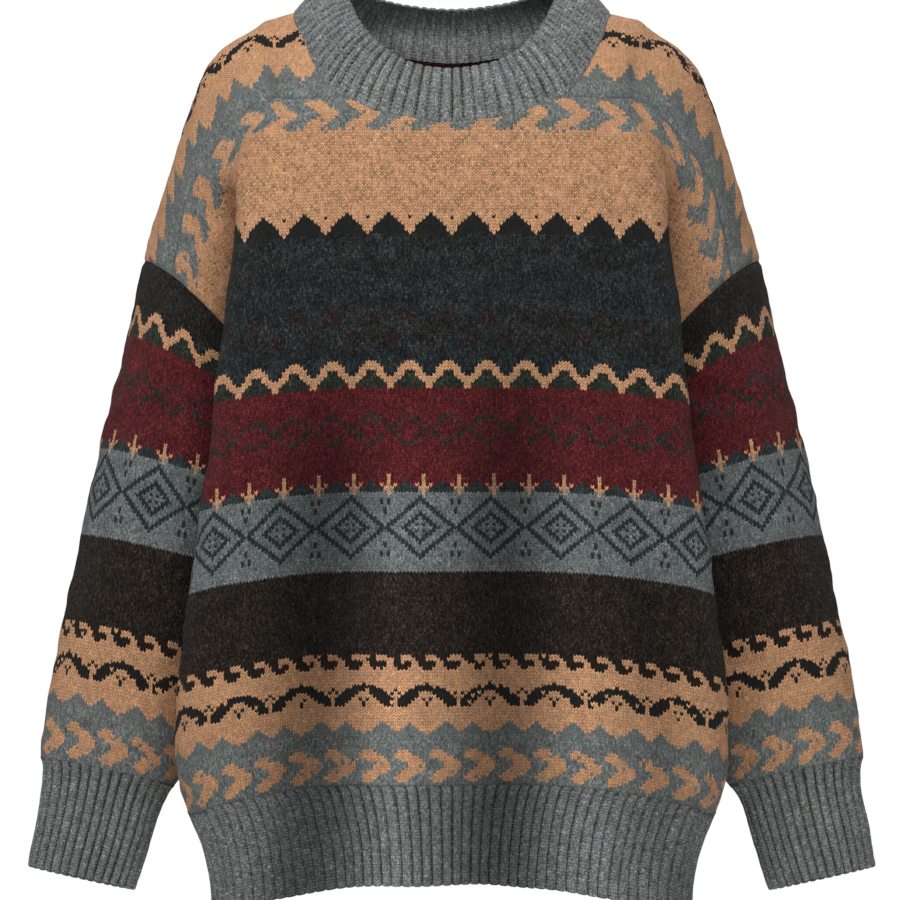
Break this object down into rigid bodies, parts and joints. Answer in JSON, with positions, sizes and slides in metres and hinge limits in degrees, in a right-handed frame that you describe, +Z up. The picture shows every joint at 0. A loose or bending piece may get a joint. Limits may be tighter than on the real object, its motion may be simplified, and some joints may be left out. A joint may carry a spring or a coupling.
{
  "type": "pullover sweater",
  "caption": "Hollow knitted pullover with dropped shoulders, long sleeves hanging at the sides, and a ribbed neckband, hem and cuffs.",
  "frame": {"origin": "midway between the two points where the neckband meets the tops of the shoulders, where the wearer's neck carries the garment", "axes": "+Z up along the garment's length, +Y from the front to the back, +X towards the wearer's left"},
  "size_m": [0.667, 0.2295, 0.7271],
  "materials": {
    "jacquard_knit": "matt woollen jacquard knit in bands of tan, navy, burgundy, grey and brown",
    "rib_knit": "matt heather grey rib knit",
    "woven_tape": "plain dark red woven tape"
  },
  "bodies": {
    "root": {"front_panel": "jacquard_knit", "back_panel": "jacquard_knit", "sleeve_left": "jacquard_knit", "sleeve_right": "jacquard_knit", "cuff_left": "rib_knit", "cuff_right": "rib_knit", "hem_rib": "rib_knit", "neckband": "rib_knit", "neck_tape": "woven_tape"}
  },
  "joints": []
}
